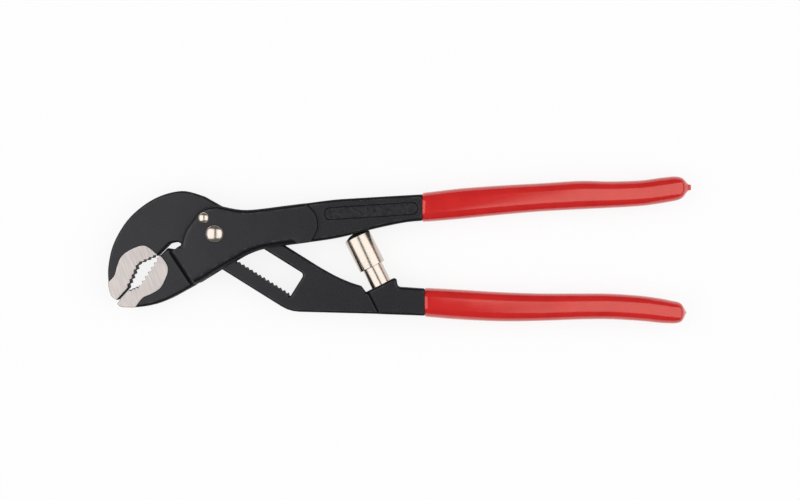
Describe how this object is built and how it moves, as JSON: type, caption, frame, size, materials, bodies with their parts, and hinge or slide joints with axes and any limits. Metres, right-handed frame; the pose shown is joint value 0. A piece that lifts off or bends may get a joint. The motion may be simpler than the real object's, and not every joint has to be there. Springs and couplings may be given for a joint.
{
  "type": "water pump pliers",
  "caption": "Self-adjusting water pump pliers: slotted box joint with a sliding jaw, toothed pipe jaws, a sprung strut between the handles and dipped grips.",
  "frame": {"origin": "middle of the bounding box in plan, on the plane that the tool lies on, which is the rear face of the box joint", "axes": "+X along the tool from the jaws to the grips, +Y across the handles towards the handle that carries the lower jaw, +Z out of the front face with the rivet heads"},
  "size_m": [0.25, 0.0632, 0.0162],
  "materials": {
    "black_steel": "forged steel with a satin black phosphate finish; jaw sides ground bright",
    "red_vinyl": "dipped soft vinyl, satin gloss",
    "nickel_plate": "nickel-plated turned steel",
    "pawl_steel": "hardened steel, as machined",
    "spring_steel": "bright drawn spring steel"
  },
  "bodies": {
    "lower_jaw_handle": {"lower_jaw_lever": "black_steel", "upper_grip": "red_vinyl", "pivot_rivet": "nickel_plate", "stop_rivet": "nickel_plate"},
    "pawl": {"ratchet_pawl": "pawl_steel", "pawl_spring": "spring_steel"},
    "upper_jaw_handle": {"upper_jaw_lever": "black_steel", "lower_grip": "red_vinyl", "strut_rod": "nickel_plate", "strut_spring": "spring_steel"},
    "sleeve": {"strut_sleeve": "nickel_plate"}
  },
  "joints": [
    {"name": "handle_swing", "type": "hinge", "parent": "lower_jaw_handle", "child": "pawl", "pos_m": [-0.07897, 0.00691, 0.0072], "axis": [0, 0, -1], "range_deg": [0, 25]},
    {"name": "jaw_slide", "type": "slide", "parent": "pawl", "child": "upper_jaw_handle", "axis": [-0.848, 0.5299, 0], "range_m": [0, 0.025]},
    {"name": "strut_plunger", "type": "slide", "parent": "upper_jaw_handle", "child": "sleeve", "axis": [0.45, -0.8931, 0], "range_m": [0, 0.0075], "stiffness_N_per_m": 2500, "springref_m": -0.004, "deforming": ["strut_spring"]}
  ],
  "couplings": [
    {"joint": "jaw_slide", "follows": "handle_swing", "m_per_rad": 0.05729}
  ]
}
